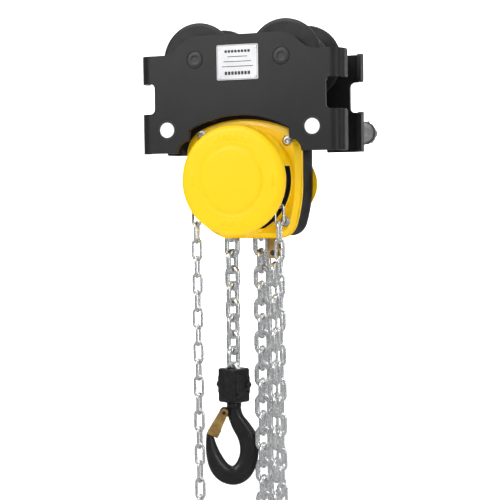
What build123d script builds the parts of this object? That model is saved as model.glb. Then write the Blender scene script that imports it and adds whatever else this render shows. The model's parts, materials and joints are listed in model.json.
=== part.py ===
"""Low-headroom push trolley with a built-in hand chain hoist.

Frame: millimetres, +Z up.  The origin is the middle of the beam's running surface: the two wheel
pairs roll along X on it, and the front of the hoist, with the hand wheel, faces -Y.
"""
import os
from math import asin, cos, degrees, pi, radians, sin

from build123d import *

os.makedirs("parts", exist_ok=True)

# ---------------------------------------------------------------- driving dimensions: trolley
TREAD_RADIUS = 40.0
FLANGE_RADIUS = 54.5
WHEEL_X = 66.0
WHEEL_Z = TREAD_RADIUS
TREAD_INNER = 22.0  # distance of the tread's inner face from the beam's web plane
FLANGE_INNER = 45.0
FLANGE_OUTER = 53.0
PLATE_OUTER = 63.0  # outer face of a side plate, from the web plane
PLATE_INNER = 57.0
PLATE_TOP = 74.0
PLATE_SHOULDER = 48.5
PLATE_BOTTOM = -94.0
NOTCH_TOP = 8.0
NOTCH_BOTTOM = -36.0
NOTCH_X = 130.5
BEND_X = 137.5
BEND_RADIUS = 17.0
TAB_DEPTH = 30.0
ARCH_TOP = -41.4
ARCH_RADIUS = 162.0
ARCH_HALF = 76.5
SHAFT_X = 111.0
SHAFT_Z = -60.0
SHAFT_RADIUS = 11.0
THREAD_RADIUS = 10.0
SHAFT_END = 232.0
NUT_Y = 205.0
AXLE_RADIUS = 12.5
JOURNAL_RADIUS = 10.0

# ---------------------------------------------------------------- driving dimensions: hoist
HOIST_X = -5.0
HOIST_Z = -134.0
FRAME_OUTER = 26.0  # outer faces of the hoist's two frame plates
FRAME_INNER = 20.0
LINK_WIRE = 3.85  # load chain: 8 mm wire drawn a little thin, so that links don't touch
LINK_PITCH = 24.0
LINK_END = 9.5  # radius of a link's end, to the middle of its wire
HAND_WIRE = 2.2
HAND_PITCH = 25.0
HAND_END = 6.2
HAND_Y = -57.0
LIVE_DROP = 288.0  # height from the hoist's axis down to the link that holds the hook block
SLACK_X = 10.0
RETURN_X = 34.0
RETURN_Y = -8.2
DRUM_RADIUS = 79.0
DRUM_FRONT = -79.0
DRUM_BACK = -40.0
GEAR_MODULE = 2.0
PINION_TEETH = 10
LARGE_TEETH = 34
SMALL_TEETH = 12
LOAD_TEETH = 32
GEAR_TILT = -8.0
GEAR_OFFSET = GEAR_MODULE * (PINION_TEETH + LARGE_TEETH) / 2
GEAR_CENTRE_X = GEAR_OFFSET * cos(radians(GEAR_TILT))
GEAR_CENTRE_Z = GEAR_OFFSET * sin(radians(GEAR_TILT))
BLOCK_TWIST = -24.2  # the hook block hangs turned by this angle about the chain
BLOCK_HALF = 17.5
HOOK_TURN = 20.8  # the hook's plane hangs turned by this angle from the XZ plane
BLOCK_TOP = -278.5  # heights of the hook block and hook, from the hoist's axis
BLOCK_BOTTOM = -329.0
RUNNING = 0.06  # radial clearance of a running fit


def hinge_radius(pitch, wire, end_radius, pockets):
    """Radius of the chain's hinge points on a wheel, and the half lengths between hinges."""
    stand = (pitch + 2 * wire) / 2 - end_radius
    flat = pitch - stand
    low, high = 20.0, 90.0
    for _ in range(60):
        middle = (low + high) / 2
        if asin(stand / middle) + asin(flat / middle) > pi / pockets:
            low = middle
        else:
            high = middle
    return low, stand, flat


LOAD_HINGE, LOAD_STAND, LOAD_FLAT = hinge_radius(LINK_PITCH, 4.0, LINK_END, 4)
HAND_HINGE, HAND_STAND, HAND_FLAT = hinge_radius(HAND_PITCH, 2.25, HAND_END, 8)
LIVE_R = (LOAD_HINGE**2 - LOAD_STAND**2) ** 0.5  # distance of a straight strand from the axis
HAND_R = (HAND_HINGE**2 - HAND_STAND**2) ** 0.5
LIVE_X = HOIST_X - LIVE_R
FLAT_R = (LOAD_HINGE**2 - LOAD_FLAT**2) ** 0.5
HAND_FLAT_R = (HAND_HINGE**2 - HAND_FLAT**2) ** 0.5


# ---------------------------------------------------------------- helpers
def front(y, x=0.0, z=0.0):
    """A sketch plane seen from the front; extruding from it goes towards the front."""
    return Plane(origin=(x, y, z), x_dir=(1, 0, 0), z_dir=(0, -1, 0))


def hoist(y):
    return front(y, HOIST_X, HOIST_Z)


def ring(y_front, y_back, radius, bore=0.0, x=HOIST_X, z=HOIST_Z):
    """A round disc or sleeve along Y."""
    with BuildPart() as piece:
        with BuildSketch(front(y_back, x, z)):
            Circle(radius)
            if bore:
                Circle(bore, mode=Mode.SUBTRACT)
        extrude(amount=y_back - y_front)
    return piece.part


def hexagon(y_front, y_back, across, x, z, bore):
    """A hexagonal nut along Y."""
    with BuildPart() as piece:
        with BuildSketch(front(y_back, x, z)):
            RegularPolygon(across / 2, 6, major_radius=False)
            Circle(bore, mode=Mode.SUBTRACT)
        extrude(amount=y_back - y_front)
    return piece.part


def gear(teeth, y_front, y_back, bore, tooth_angle):
    """A spur gear about the plane's origin, with one tooth pointing along tooth_angle."""
    pitch_radius = GEAR_MODULE * teeth / 2
    root, tip = pitch_radius - 1.25 * GEAR_MODULE, pitch_radius + 0.8 * GEAR_MODULE
    step = 360 / teeth
    with BuildPart() as piece:
        with BuildSketch(front(y_back)):
            Circle(root)
            with BuildLine():
                Polyline(
                    (root - 1, -0.30 * GEAR_MODULE * pi / 2),
                    (root, -0.30 * GEAR_MODULE * pi),
                    (pitch_radius, -0.19 * GEAR_MODULE * pi),
                    (tip, -0.09 * GEAR_MODULE * pi),
                    (tip, 0.09 * GEAR_MODULE * pi),
                    (pitch_radius, 0.19 * GEAR_MODULE * pi),
                    (root, 0.30 * GEAR_MODULE * pi),
                    (root - 1, 0.30 * GEAR_MODULE * pi / 2),
                    close=True,
                )
            tooth = make_face(mode=Mode.PRIVATE)
            with PolarLocations(0, teeth, start_angle=tooth_angle % step):
                add(tooth)
            if bore:
                Circle(bore, mode=Mode.SUBTRACT)
        extrude(amount=y_back - y_front)
    return piece.part


def chain_link(wire, end_radius, pitch):
    """One welded link in the XY plane, long along X."""
    half = (pitch + 2 * round(wire, 1)) / 2 - end_radius
    with BuildPart() as piece:
        with BuildLine():
            Line((-half, -end_radius), (half, -end_radius))
            ThreePointArc((half, -end_radius), (half + end_radius, 0), (half, end_radius))
            Line((half, end_radius), (-half, end_radius))
            ThreePointArc((-half, end_radius), (-half - end_radius, 0), (-half, -end_radius))
        with BuildSketch(Plane(origin=(0, -end_radius, 0), x_dir=(0, 1, 0), z_dir=(1, 0, 0))):
            Circle(wire)
        sweep()
    return piece.part


load_link = chain_link(LINK_WIRE, LINK_END, LINK_PITCH)
hand_link = chain_link(HAND_WIRE, HAND_END, HAND_PITCH)


def chain(link, hinges, standing, twist=lambda z: 0.0):
    """Links between successive hinge points; a standing link lies in the XZ plane.

    twist gives the turn, in degrees about Z, of a link whose middle is at height z."""
    links = []
    for index in range(len(hinges) - 1):
        start, end = Vector(*hinges[index]), Vector(*hinges[index + 1])
        axis = (end - start).normalized()
        middle = (start + end) * 0.5
        turn = radians(twist(middle.Z))
        across = Vector(-sin(turn), cos(turn), 0)
        across = (across - axis * across.dot(axis)).normalized()
        normal = across if standing else axis.cross(across)
        links.append(link.moved(Plane(origin=middle, x_dir=axis, z_dir=normal).location))
        standing = not standing
    return links


def on_axis(radius, angle, y=0.0):
    """A point at a radius and angle about the hoist's axis, seen from the front."""
    return (HOIST_X + radius * cos(radians(angle)), y, HOIST_Z + radius * sin(radians(angle)))


def write(shape, name):
    shape.label = name
    export_step(shape, f"parts/{name}.step")


# ---------------------------------------------------------------- side plates
def plate_outline():
    """Half of a side plate's flat face, from its middle line to the bend."""
    arch_side = ARCH_TOP - ARCH_RADIUS + (ARCH_RADIUS**2 - ARCH_HALF**2) ** 0.5
    with BuildLine() as line:
        Line((0, ARCH_TOP), (0, PLATE_TOP))
        Line((0, PLATE_TOP), (60, PLATE_TOP))
        Spline((60, PLATE_TOP), (90, 63), (118, PLATE_SHOULDER), tangents=((1, 0), (1, 0)))
        Line((118, PLATE_SHOULDER), (BEND_X, PLATE_SHOULDER))
        Line((BEND_X, PLATE_SHOULDER), (BEND_X, NOTCH_TOP))
        RadiusArc((BEND_X, NOTCH_TOP), (NOTCH_X, NOTCH_TOP - 7), -7)
        Line((NOTCH_X, NOTCH_TOP - 7), (NOTCH_X, NOTCH_BOTTOM + 7))
        RadiusArc((NOTCH_X, NOTCH_BOTTOM + 7), (BEND_X, NOTCH_BOTTOM), -7)
        Line((BEND_X, NOTCH_BOTTOM), (BEND_X, PLATE_BOTTOM))
        Line((BEND_X, PLATE_BOTTOM), (ARCH_HALF + 18, PLATE_BOTTOM))
        RadiusArc((ARCH_HALF + 18, PLATE_BOTTOM), (ARCH_HALF, PLATE_BOTTOM + 18), -18)
        Line((ARCH_HALF, PLATE_BOTTOM + 18), (ARCH_HALF, arch_side))
        ThreePointArc(
            (ARCH_HALF, arch_side),
            (ARCH_HALF / 2, ARCH_TOP - ARCH_RADIUS + (ARCH_RADIUS**2 - ARCH_HALF**2 / 4) ** 0.5),
            (0, ARCH_TOP),
        )
    return line.line


def side_plate(y_face, inward, shaft_bore):
    """A pressed side plate; inward is +1 for the front plate and -1 for the rear one."""
    y_back = max(y_face, y_face + inward * (PLATE_OUTER - PLATE_INNER))
    with BuildPart() as plate:
        with BuildSketch(front(y_back)):
            with BuildLine():
                add(plate_outline())
            make_face()
            mirror(about=Plane.YZ)
            with Locations((-WHEEL_X, WHEEL_Z), (WHEEL_X, WHEEL_Z)):
                Circle(AXLE_RADIUS, mode=Mode.SUBTRACT)
            with Locations((-SHAFT_X, SHAFT_Z), (SHAFT_X, SHAFT_Z)):
                Circle(shaft_bore, mode=Mode.SUBTRACT)
        extrude(amount=PLATE_OUTER - PLATE_INNER)
        for low, high in ((PLATE_BOTTOM, NOTCH_BOTTOM), (NOTCH_TOP, PLATE_SHOULDER)):
            with BuildSketch(Plane.XY.offset(low)) as bend:
                thickness = PLATE_OUTER - PLATE_INNER
                edge = BEND_X + BEND_RADIUS
                y_bend = y_face + inward * BEND_RADIUS
                y_free = y_face + inward * TAB_DEPTH
                y_in = y_face + inward * thickness
                slope = BEND_RADIUS * 0.7071
                inner = (BEND_RADIUS - thickness) * 0.7071
                with BuildLine():
                    ThreePointArc(
                        (BEND_X, y_face), (BEND_X + slope, y_bend - inward * slope), (edge, y_bend)
                    )
                    Line((edge, y_bend), (edge, y_free))
                    Line((edge, y_free), (edge - thickness, y_free))
                    Line((edge - thickness, y_free), (edge - thickness, y_bend))
                    ThreePointArc(
                        (edge - thickness, y_bend),
                        (BEND_X + inner, y_bend - inward * inner),
                        (BEND_X, y_in),
                    )
                    Line((BEND_X, y_in), (BEND_X, y_face))
                make_face()
                mirror(about=Plane.YZ)
            extrude(amount=high - low)
        free_edges = (
            plate.edges().filter_by(Axis.X).filter_by(lambda e: abs(e.center().Y - y_free) < 0.01)
        )
        fillet(free_edges, radius=5)
    return plate.part


side_plate_front = side_plate(-PLATE_OUTER, 1, SHAFT_RADIUS + 3.5)
side_plate_rear = side_plate(PLATE_OUTER, -1, SHAFT_RADIUS + 0.1)
write(side_plate_front, "side_plate_front")
write(side_plate_rear, "side_plate_rear")


# ---------------------------------------------------------------- wheels, bearings and axles
def turned(points, x, z, side):
    """Revolves (radius, distance from the web) points about a Y axis at (x, z)."""
    with BuildPart() as piece:
        with BuildSketch(Plane(origin=(x, 0, z), x_dir=(1, 0, 0), z_dir=(0, 0, 1))):
            Polygon(*[(r, side * d) for r, d in points], align=None)
        revolve(axis=Axis((x, 0, z), (0, 1, 0)))
    return piece.part


BEARING_RADIUS = 23.5
BEARING_BACK = 28.0
BEARING_FRONT = 49.0
BALL_RADIUS = 3.0
BALL_CIRCLE = 16.5
wheel_profile = (
    (16, FLANGE_OUTER),
    (FLANGE_RADIUS - 5, FLANGE_OUTER),
    (FLANGE_RADIUS, FLANGE_OUTER - 3),
    (FLANGE_RADIUS, FLANGE_INNER + 1.5),
    (FLANGE_RADIUS - 1.5, FLANGE_INNER),
    (TREAD_RADIUS, FLANGE_INNER - 0.5),
    (TREAD_RADIUS, TREAD_INNER + 1.5),
    (TREAD_RADIUS - 1.5, TREAD_INNER),
    (BEARING_RADIUS, TREAD_INNER),
    (BEARING_RADIUS, BEARING_FRONT),
    (16, BEARING_FRONT),
)
wheel_places = {
    "front_left": (-WHEEL_X, -1),
    "front_right": (WHEEL_X, -1),
    "rear_left": (-WHEEL_X, 1),
    "rear_right": (WHEEL_X, 1),
}
axles, inner_rings, retaining_rings = [], [], []
for place, (wheel_x, side) in wheel_places.items():
    write(turned(wheel_profile, wheel_x, WHEEL_Z, side), f"wheel_{place}")
    outer_ring = turned(
        (
            (BALL_CIRCLE + BALL_RADIUS + 0.1, BEARING_BACK),
            (BEARING_RADIUS, BEARING_BACK),
            (BEARING_RADIUS, BEARING_FRONT),
            (BALL_CIRCLE + BALL_RADIUS + 0.1, BEARING_FRONT),
        ),
        wheel_x,
        WHEEL_Z,
        side,
    )
    with BuildPart() as bearing:
        add(outer_ring)
        for row in (33.5, 43.5):
            with Locations(Plane(origin=(wheel_x, side * row, WHEEL_Z), z_dir=(0, 1, 0))):
                with PolarLocations(BALL_CIRCLE, 10):
                    Sphere(BALL_RADIUS)
    write(bearing.part, f"wheel_bearing_{place}")
    inner_rings.append(
        turned(
            (
                (JOURNAL_RADIUS, BEARING_BACK - 0.2),
                (BALL_CIRCLE - BALL_RADIUS - 0.1, BEARING_BACK - 0.2),
                (BALL_CIRCLE - BALL_RADIUS - 0.1, BEARING_FRONT + 0.2),
                (JOURNAL_RADIUS, BEARING_FRONT + 0.2),
            ),
            wheel_x,
            WHEEL_Z,
            side,
        )
    )
    axles.append(
        turned(
            (
                (0, PLATE_OUTER + 0.6),
                (AXLE_RADIUS - 1, PLATE_OUTER + 0.6),
                (AXLE_RADIUS, PLATE_OUTER - 0.4),
                (AXLE_RADIUS, PLATE_INNER),
                (15, PLATE_INNER),
                (15, FLANGE_OUTER + 1),
                (AXLE_RADIUS, FLANGE_OUTER + 1),
                (AXLE_RADIUS, BEARING_FRONT + 0.2),
                (JOURNAL_RADIUS, BEARING_FRONT + 0.2),
                (JOURNAL_RADIUS, 26.2),
                (9, 26.2),
                (9, 24.8),
                (JOURNAL_RADIUS, 24.8),
                (JOURNAL_RADIUS, TREAD_INNER + 1),
                (JOURNAL_RADIUS - 1, TREAD_INNER),
                (0, TREAD_INNER),
            ),
            wheel_x,
            WHEEL_Z,
            side,
        )
    )
    retaining_rings.append(
        turned(((9, 24.8), (14, 24.8), (14, 26.2), (9, 26.2)), wheel_x, WHEEL_Z, side)
    )
write(Compound(children=axles), "wheel_axles")
write(Compound(children=inner_rings), "bearing_inner_rings")
write(Compound(children=retaining_rings), "axle_retaining_rings")

# ---------------------------------------------------------------- nameplate
NAMEPLATE = (63.0, 50.0)
NAMEPLATE_Z = 34.0
with BuildPart() as nameplate:
    with BuildSketch(front(-PLATE_OUTER, 0, NAMEPLATE_Z)):
        RectangleRounded(*NAMEPLATE, 2)
    extrude(amount=0.8)
with BuildPart() as nameplate_rivets:
    with BuildSketch(front(-PLATE_OUTER - 0.8, 0, NAMEPLATE_Z)):
        with GridLocations(NAMEPLATE[0] - 8, NAMEPLATE[1] - 8, 2, 2):
            Circle(2)
    extrude(amount=1, taper=25)
write(nameplate.part, "nameplate")
write(nameplate_rivets.part, "nameplate_rivets")

# ---------------------------------------------------------------- suspension shafts
shafts, sleeves, nuts, pins = [], [], [], []
for shaft_x in (-SHAFT_X, SHAFT_X):
    with BuildPart() as shaft:
        with BuildSketch(front(200, shaft_x, SHAFT_Z)):
            Circle(SHAFT_RADIUS)
        extrude(amount=200 + PLATE_OUTER + 0.4)
        with BuildSketch(front(-PLATE_INNER, shaft_x, SHAFT_Z)):
            Circle(SHAFT_RADIUS + 3.5)
        extrude(amount=PLATE_OUTER - PLATE_INNER)
        with BuildSketch(front(SHAFT_END, shaft_x, SHAFT_Z)):
            Circle(THREAD_RADIUS)
        extrude(amount=SHAFT_END - 200)
        chamfer(shaft.faces().sort_by(Axis.Y)[-1].edges(), length=1.5)
        cotter_hole = Plane(origin=(shaft_x, NUT_Y + 18.5, SHAFT_Z), z_dir=(0, 0, 1))
        with Locations(cotter_hole):
            Hole(2.1)
    shafts.append(shaft.part)
    bore = SHAFT_RADIUS + 0.1
    for y_start, y_end in (
        (-PLATE_INNER + 0.1, -FRAME_OUTER - 0.1),
        (-FRAME_INNER + 0.1, FRAME_INNER - 0.1),
        (FRAME_OUTER + 0.1, PLATE_INNER - 0.1),
        (PLATE_OUTER + 0.1, 97),
        (97.2, 131),
        (131.2, 165),
        (165.2, NUT_Y - 5.2),
    ):
        sleeves.append(ring(y_start, y_end, 16, bore, shaft_x, SHAFT_Z))
    sleeves.append(ring(NUT_Y - 5, NUT_Y - 0.2, 18, bore, shaft_x, SHAFT_Z))
    with BuildPart() as nut:
        with BuildSketch(front(NUT_Y + 14, shaft_x, SHAFT_Z)):
            RegularPolygon(15, 6, major_radius=False)
            Circle(THREAD_RADIUS + 0.1, mode=Mode.SUBTRACT)
        extrude(amount=14)
        with BuildSketch(front(NUT_Y + 22, shaft_x, SHAFT_Z)):
            Circle(14)
            Circle(THREAD_RADIUS + 0.1, mode=Mode.SUBTRACT)
            with PolarLocations(0, 3, start_angle=90):
                Rectangle(40, 4.6, mode=Mode.SUBTRACT)
        extrude(amount=8)
    nuts.append(nut.part)
    with BuildPart() as pin:
        with BuildSketch(Plane(origin=(shaft_x, NUT_Y + 18.5, SHAFT_Z - 17), z_dir=(0, 0, 1))):
            Circle(1.9)
        extrude(amount=34)
        with BuildSketch(Plane(origin=(shaft_x, NUT_Y + 18.5, SHAFT_Z + 16), z_dir=(0, 0, 1))):
            Circle(3.2)
        extrude(amount=4, taper=15)
    pins.append(pin.part)
write(Compound(children=shafts), "suspension_shafts")
write(Compound(children=sleeves), "spacer_sleeves")
write(Compound(children=nuts), "castle_nuts")
write(Compound(children=pins), "cotter_pins")

# ---------------------------------------------------------------- hoist frame
HOUSING_TOP = 87.0
HOUSING_BOTTOM = -83.0
HOUSING_HALF = 88.0
STAY_RIGHT = (70.8, 55.2)
STAY_LEFT = (-61.0, 65.5)
STAY_LOWER_RIGHT = (66.0, -60.0)
STAY_LOWER_LEFT = (-58.0, -54.0)
STAYS = (STAY_RIGHT, STAY_LEFT, STAY_LOWER_RIGHT, STAY_LOWER_LEFT)


def housing_outline():
    """The hoist housing seen from the front, about the hoist's axis."""
    with BuildLine() as line:
        Line((-30, HOUSING_BOTTOM), (52, HOUSING_BOTTOM))
        ThreePointArc((52, HOUSING_BOTTOM), (70, -77.5), (79, -64))
        ThreePointArc((79, -64), (86, -33), (HOUSING_HALF, 0))
        Line((HOUSING_HALF, 0), (HOUSING_HALF, 36))
        ThreePointArc((HOUSING_HALF, 36), (79.5, 62), (60, 75.5))
        ThreePointArc((60, 75.5), (0, HOUSING_TOP), (-60, 75.5))
        ThreePointArc((-60, 75.5), (-79.5, 62), (-HOUSING_HALF, 36))
        Line((-HOUSING_HALF, 36), (-HOUSING_HALF, 0))
        ThreePointArc((-HOUSING_HALF, 0), (-73.5, -51), (-30, HOUSING_BOTTOM))
    return line.line


EAR_RADIUS = 20.0
EAR_LEFT = (-SHAFT_X - HOIST_X, SHAFT_Z - HOIST_Z)
EAR_RIGHT = (SHAFT_X - HOIST_X, SHAFT_Z - HOIST_Z)
BEARING_OUTER = 30.0
BEARING_INNER = 22.0
ROLLERS = ((-53.5, -24.0), (54.0, -14.0))
ROLLER_PIN = 3.0
PAWLS = ((0.0, 56.0), (0.0, -56.0))
PAWL_PIN = 3.0


def frame_plate(y_back):
    thickness = FRAME_OUTER - FRAME_INNER
    with BuildPart() as plate:
        with BuildSketch(hoist(y_back)):
            with BuildLine():
                add(housing_outline())
            make_face()
            offset(amount=-1)
            Polygon((-52, 78), (-34, 98), (44, 98), (62, 74), align=None)
            for (ear_x, ear_z), toward, under in ((EAR_LEFT, -1, 36), (EAR_RIGHT, 1, 45)):
                Polygon(
                    (toward * 20, 60),
                    (toward * 40, 85),
                    (ear_x, ear_z + EAR_RADIUS),
                    (ear_x, ear_z - EAR_RADIUS),
                    (toward * 86, under),
                    (toward * 20, under),
                    align=None,
                )
                with Locations((ear_x, ear_z)):
                    Circle(EAR_RADIUS)
            with Locations(EAR_LEFT, EAR_RIGHT):
                Circle(SHAFT_RADIUS + 0.1, mode=Mode.SUBTRACT)
            Circle(BEARING_OUTER, mode=Mode.SUBTRACT)
            with Locations(*STAYS):
                Circle(4.1, mode=Mode.SUBTRACT)
            with Locations(*ROLLERS):
                Circle(ROLLER_PIN, mode=Mode.SUBTRACT)
            if y_back > 0:
                with Locations(
                    (GEAR_CENTRE_X, GEAR_CENTRE_Z), (-GEAR_CENTRE_X, -GEAR_CENTRE_Z)
                ):
                    Circle(6 + RUNNING, mode=Mode.SUBTRACT)
            else:
                with Locations(*PAWLS):
                    Circle(PAWL_PIN, mode=Mode.SUBTRACT)
        extrude(amount=thickness)
    return plate.part


write(frame_plate(-FRAME_INNER), "frame_plate_front")
write(frame_plate(FRAME_OUTER), "frame_plate_rear")

with BuildPart() as frame_shroud:
    with BuildSketch(hoist(FRAME_INNER)):
        with BuildLine():
            add(housing_outline())
        make_face()
        offset(amount=-1)
        with BuildLine():
            add(housing_outline())
        inside = make_face(mode=Mode.PRIVATE)
        add(offset(inside, amount=-3.8, mode=Mode.PRIVATE), mode=Mode.SUBTRACT)
        with Locations((-4, HOUSING_BOTTOM)):
            Rectangle(104, 30, mode=Mode.SUBTRACT)
    extrude(amount=2 * FRAME_INNER)
write(frame_shroud.part, "frame_shroud")

stays = []
for stay_x, stay_z in STAYS:
    x, z = HOIST_X + stay_x, HOIST_Z + stay_z
    with BuildPart() as stay:
        with BuildSketch(front(FRAME_INNER, x, z)):
            Circle(4.5)
        extrude(amount=2 * FRAME_INNER)
        with BuildSketch(front(FRAME_OUTER + 7.5, x, z)):
            Circle(4)
        extrude(amount=FRAME_OUTER + 7.5 - FRAME_INNER)
        with BuildSketch(front(-FRAME_INNER, x, z)):
            Circle(4)
        extrude(amount=14)
    stays.append(stay.part)
write(Compound(children=stays), "frame_stays")

# ---------------------------------------------------------------- brake cover and hand wheel cover
LIP_FRONT = -29.0
SKIRT_FRONT = -40.0
SHELL = 2.0


with BuildPart() as brake_cover:
    with BuildSketch(hoist(-FRAME_OUTER)):
        with BuildLine():
            add(housing_outline())
        make_face()
        offset(amount=1.5)
    extrude(amount=-FRAME_OUTER - LIP_FRONT)
    with BuildSketch(hoist(LIP_FRONT)):
        with BuildLine():
            add(housing_outline())
        make_face()
        offset(amount=-0.5)
    with BuildSketch(hoist(SKIRT_FRONT)):
        with BuildLine():
            add(housing_outline())
        make_face()
        offset(amount=-6.5)
    loft(ruled=True)
    with BuildSketch(hoist(-FRAME_OUTER)):
        with BuildLine():
            add(housing_outline())
        make_face()
        offset(amount=-3)
    with BuildSketch(hoist(SKIRT_FRONT + SHELL)):
        with BuildLine():
            add(housing_outline())
        make_face()
        offset(amount=-8.5)
    loft(ruled=True, mode=Mode.SUBTRACT)
    with BuildSketch(hoist(SKIRT_FRONT + SHELL)):
        Circle(45)
    extrude(amount=SHELL, mode=Mode.SUBTRACT)
    with BuildSketch(hoist(-FRAME_OUTER)):
        with Locations(*STAYS):
            Circle(7.5)
    extrude(amount=20, mode=Mode.SUBTRACT)
write(brake_cover.part, "brake_cover")

SLOT_LOW = -62.0
SLOT_HIGH = 14.0
SLOT_FRONT = -69.5
SLOT_BACK = -48.0
with BuildPart() as drum_cavity:
    with BuildSketch(hoist(DRUM_BACK)):
        Circle(DRUM_RADIUS - SHELL)
    extrude(amount=DRUM_BACK - DRUM_FRONT - SHELL)
    fillet(drum_cavity.faces().sort_by(Axis.Y)[0].edges(), radius=6)
with BuildPart() as hand_wheel_cover:
    with BuildSketch(hoist(DRUM_BACK)):
        Circle(DRUM_RADIUS)
    extrude(amount=DRUM_BACK - DRUM_FRONT)
    fillet(hand_wheel_cover.faces().sort_by(Axis.Y)[0].edges(), radius=8)
    add(drum_cavity.part, mode=Mode.SUBTRACT)
    with BuildSketch(hoist(SLOT_BACK)):
        for first, last in ((SLOT_LOW, SLOT_HIGH), (180 - SLOT_HIGH, 180 - SLOT_LOW)):
            with BuildLine():
                Line((0, 0), (95 * cos(radians(first)), 95 * sin(radians(first))))
                CenterArc((0, 0), 95, first, last - first)
                Line((95 * cos(radians(last)), 95 * sin(radians(last))), (0, 0))
            make_face()
        Circle(70, mode=Mode.SUBTRACT)
    extrude(amount=SLOT_BACK - SLOT_FRONT, mode=Mode.SUBTRACT)
write(hand_wheel_cover.part, "hand_wheel_cover")

# Nuts on both ends of the stays hold the two frame plates together.
stay_nuts = []
for stay_x, stay_z in STAYS:
    x, z = HOIST_X + stay_x, HOIST_Z + stay_z
    stay_nuts.append(hexagon(-FRAME_OUTER - 6, -FRAME_OUTER, 12, x, z, 4.05))
    stay_nuts.append(hexagon(FRAME_OUTER, FRAME_OUTER + 6, 12, x, z, 4.05))
write(Compound(children=stay_nuts), "stay_nuts")

# ---------------------------------------------------------------- gear cover
GEAR_COVER_BACK = 62.0
GEAR_LIP = 8.5
LOBES = (
    (0.0, 0.0, 46.0),
    (GEAR_CENTRE_X, GEAR_CENTRE_Z, 41.0),
    (-GEAR_CENTRE_X, -GEAR_CENTRE_Z, 41.0),
)
with BuildPart() as gear_cover:
    with BuildSketch(hoist(FRAME_OUTER + 2.2)):
        for x, z, radius in LOBES:
            with Locations((x, z)):
                Circle(radius + GEAR_LIP)
    extrude(amount=2.2)
    with BuildSketch(hoist(GEAR_COVER_BACK)):
        for x, z, radius in LOBES:
            with Locations((x, z)):
                Circle(radius)
    extrude(amount=GEAR_COVER_BACK - FRAME_OUTER)
    fillet(gear_cover.faces().sort_by(Axis.Y)[-1].edges(), radius=6)
    with BuildSketch(hoist(GEAR_COVER_BACK - SHELL)):
        for x, z, radius in LOBES:
            with Locations((x, z)):
                Circle(radius - SHELL - 0.2)
    extrude(amount=GEAR_COVER_BACK - SHELL - FRAME_OUTER, mode=Mode.SUBTRACT)
    with BuildSketch(hoist(GEAR_COVER_BACK - SHELL)):
        for x, z, radius in LOBES:
            with Locations((x, z)):
                Circle(11)
    extrude(amount=8)
    with BuildSketch(hoist(GEAR_COVER_BACK - SHELL)):
        for index, (x, z, radius) in enumerate(LOBES):
            with Locations((x, z)):
                Circle((5 if index == 0 else 6) + RUNNING)
    extrude(amount=8, mode=Mode.SUBTRACT)
write(gear_cover.part, "gear_cover")

SCREW_PLACES = (
    (0, 50.5),
    (0, -50.5),
    (GEAR_CENTRE_X + 41, GEAR_CENTRE_Z + 19),
    (GEAR_CENTRE_X + 41, GEAR_CENTRE_Z - 19),
    (-GEAR_CENTRE_X - 41, -GEAR_CENTRE_Z + 19),
    (-GEAR_CENTRE_X - 41, -GEAR_CENTRE_Z - 19),
)
screws = []
for screw_x, screw_z in SCREW_PLACES:
    x, z = HOIST_X + screw_x, HOIST_Z + screw_z
    screws.append(ring(FRAME_OUTER + 2.2, FRAME_OUTER + 5.5, 3.4, 0, x, z))
write(Compound(children=screws), "gear_cover_screws")

# ---------------------------------------------------------------- load sheave and gear train
with BuildPart() as load_sheave:
    with BuildSketch(hoist(17)):
        Circle(34)
    extrude(amount=34)
    for pocket in range(4):
        angle = radians(45 + 90 * pocket)
        seat = FLAT_R - LINK_WIRE - 0.9
        pocket_plane = Plane(
            origin=(HOIST_X + seat * cos(angle), 0, HOIST_Z + seat * sin(angle)),
            x_dir=(0, 1, 0),
            z_dir=(cos(angle), 0, sin(angle)),
        )
        with BuildSketch(pocket_plane):
            SlotOverall(43, 2 * (LINK_END + LINK_WIRE + 0.4), rotation=90)
        extrude(amount=20, mode=Mode.SUBTRACT)
    with BuildSketch(hoist(4.6)):
        Circle(40)
        Circle(17, mode=Mode.SUBTRACT)
    extrude(amount=9.2, mode=Mode.SUBTRACT)
    with BuildSketch(hoist(FRAME_OUTER + 12)):
        Circle(14)
    extrude(amount=FRAME_OUTER + 12)
    with BuildSketch(hoist(FRAME_OUTER + 0.5)):
        Circle(BEARING_INNER - RUNNING)
    extrude(amount=2 * FRAME_OUTER + 1)
    with BuildSketch(hoist(4.6)):
        Circle(40)
        Circle(17, mode=Mode.SUBTRACT)
    extrude(amount=9.2, mode=Mode.SUBTRACT)
    with BuildSketch(hoist(FRAME_OUTER + 12)):
        Circle(7.5 + RUNNING)
    extrude(amount=2 * FRAME_OUTER + 14, mode=Mode.SUBTRACT)
write(load_sheave.part, "load_sheave")

bearings = [
    ring(-FRAME_OUTER, -FRAME_INNER, BEARING_OUTER, BEARING_INNER),
    ring(FRAME_INNER, FRAME_OUTER, BEARING_OUTER, BEARING_INNER),
]
write(Compound(children=bearings), "sheave_bearings")

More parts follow.
